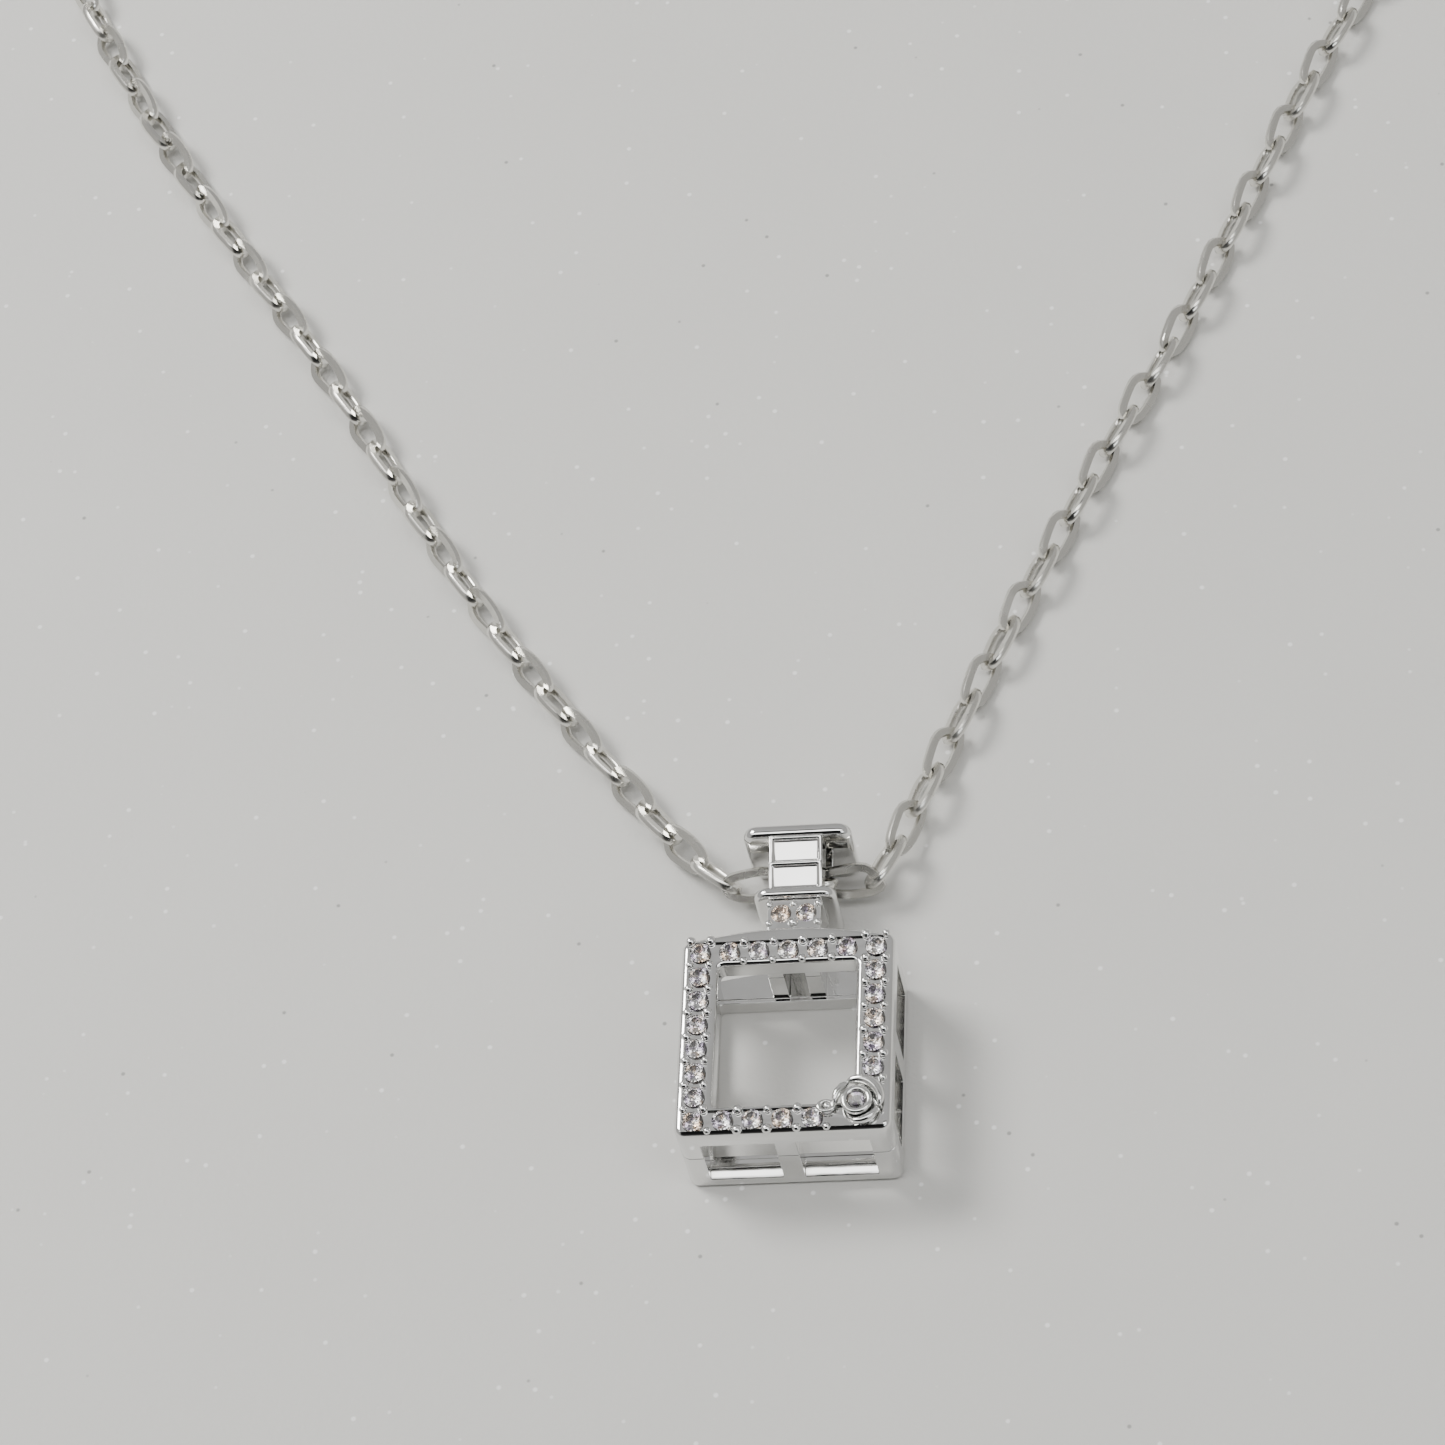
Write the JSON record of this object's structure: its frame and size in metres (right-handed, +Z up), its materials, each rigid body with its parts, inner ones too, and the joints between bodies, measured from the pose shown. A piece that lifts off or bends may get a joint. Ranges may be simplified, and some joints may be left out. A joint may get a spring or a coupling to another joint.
{
  "type": "pendant necklace",
  "caption": "Open square stone-set pendant frame with a bottle-neck bail, hung on a fine oval-link chain with a lobster clasp and an end ring.",
  "frame": {"origin": "middle of the pendant's footprint, on the surface that its back rests on", "axes": "+Z up out of the pendant's front, +Y from the square frame towards the bail and the chain, +X to the right as the front is seen"},
  "size_m": [0.0958, 0.1387, 0.0068],
  "materials": {
    "pendant_metal": "bright rhodium-like plating, mirror polished, with fine wear scratches",
    "rosette_metal": "bright plated casting with satin petal faces",
    "clear_stone": "clear faceted round stones with bright table and faint colour fire",
    "chain_link_metal": "bright steel-coloured links with flat filed faces and polished ends",
    "clasp_metal": "bright cast clasp and rings, softly polished",
    "spring_steel": "plain spring steel"
  },
  "bodies": {
    "chain_centre": {"centre_link_1": "chain_link_metal", "centre_link_2": "chain_link_metal", "centre_link_3": "chain_link_metal"},
    "pendant": {"front_frame": "pendant_metal", "rear_frame": "pendant_metal", "neck": "pendant_metal", "collar": "pendant_metal", "bail_strap": "pendant_metal", "stopper_block": "pendant_metal", "cap": "pendant_metal", "rosette": "rosette_metal", "rosette_stone": "clear_stone", "neck_stone_left": "clear_stone", "neck_stone_right": "clear_stone", "stone_left_1": "clear_stone", "stone_left_2": "clear_stone", "stone_left_3": "clear_stone", "stone_left_4": "clear_stone", "stone_left_5": "clear_stone", "stone_left_6": "clear_stone", "stone_left_7": "clear_stone", "stone_left_8": "clear_stone", "stone_right_3": "clear_stone", "stone_right_4": "clear_stone", "stone_right_5": "clear_stone", "stone_right_6": "clear_stone", "stone_right_7": "clear_stone", "stone_right_8": "clear_stone", "stone_top_1": "clear_stone", "stone_top_2": "clear_stone", "stone_top_3": "clear_stone", "stone_top_4": "clear_stone", "stone_top_5": "clear_stone", "stone_bottom_1": "clear_stone", "stone_bottom_2": "clear_stone", "stone_bottom_3": "clear_stone", "stone_bottom_4": "clear_stone"},
    "left_run_1": {"chain_left_1": "chain_link_metal"},
    "left_run_2": {"chain_left_2": "chain_link_metal"},
    "left_run_3": {"chain_left_3": "chain_link_metal"},
    "left_run_4": {"chain_left_4": "chain_link_metal", "clasp_ring": "clasp_metal"},
    "right_run_1": {"chain_right_1": "chain_link_metal"},
    "right_run_2": {"chain_right_2": "chain_link_metal"},
    "right_run_3": {"chain_right_3": "chain_link_metal"},
    "right_run_4": {"chain_right_4": "chain_link_metal"},
    "clasp": {"clasp_body": "clasp_metal", "clasp_pin": "clasp_metal", "clasp_spring": "spring_steel"},
    "clasp_lever": {"clasp_lever": "clasp_metal"},
    "end_ring": {"end_ring": "clasp_metal"}
  },
  "joints": [
    {"name": "pendant_swing", "type": "hinge", "parent": "chain_centre", "child": "pendant", "pos_m": [0, 0.00809, 0.0018], "axis": [-1, 0, 0], "range_deg": [0, 90]},
    {"name": "left_bend_1", "type": "hinge", "parent": "chain_centre", "child": "left_run_1", "pos_m": [-0.00413, 0.00809, 0.0018], "axis": [0, 0, 1], "range_deg": [-3, 25]},
    {"name": "left_bend_2", "type": "hinge", "parent": "left_run_1", "child": "left_run_2", "pos_m": [-0.0304, 0.0461, 0.0009], "axis": [0, 0, 1], "range_deg": [-3, 25]},
    {"name": "left_bend_3", "type": "hinge", "parent": "left_run_2", "child": "left_run_3", "pos_m": [-0.0528, 0.0864, 0.0009], "axis": [0, 0, 1], "range_deg": [-3, 25]},
    {"name": "left_bend_4", "type": "hinge", "parent": "left_run_3", "child": "left_run_4", "pos_m": [-0.036, 0.1205, 0.0009], "axis": [0, 0, 1], "range_deg": [-20, 5]},
    {"name": "right_bend_1", "type": "hinge", "parent": "chain_centre", "child": "right_run_1", "pos_m": [0.00413, 0.00809, 0.0018], "axis": [0, 0, -1], "range_deg": [-3, 25]},
    {"name": "right_bend_2", "type": "hinge", "parent": "right_run_1", "child": "right_run_2", "pos_m": [0.0235, 0.0503, 0.0009], "axis": [0, 0, -1], "range_deg": [-3, 25]},
    {"name": "right_bend_3", "type": "hinge", "parent": "right_run_2", "child": "right_run_3", "pos_m": [0.0393, 0.094, 0.0009], "axis": [0, 0, -1], "range_deg": [-3, 25]},
    {"name": "right_bend_4", "type": "hinge", "parent": "right_run_3", "child": "right_run_4", "pos_m": [0.0144, 0.1276, 0.0009], "axis": [0, 0, -1], "range_deg": [-20, 5]},
    {"name": "clasp_swing", "type": "hinge", "parent": "left_run_4", "child": "clasp", "pos_m": [-0.01708, 0.08905, 0.0011], "axis": [0, 0, 1], "range_deg": [-25, 25]},
    {"name": "clasp_gate", "type": "hinge", "parent": "clasp", "child": "clasp_lever", "pos_m": [-0.01617, 0.08579, 0.0011], "axis": [0, 0, -1], "range_deg": [0, 25], "stiffness_Nm_per_rad": 0.0004, "springref_deg": -20.05},
    {"name": "end_ring_swing", "type": "hinge", "parent": "right_run_4", "child": "end_ring", "pos_m": [-0.0025, 0.0874, 0.00024], "axis": [0, 0, 1], "range_deg": [-25, 25]}
  ]
}
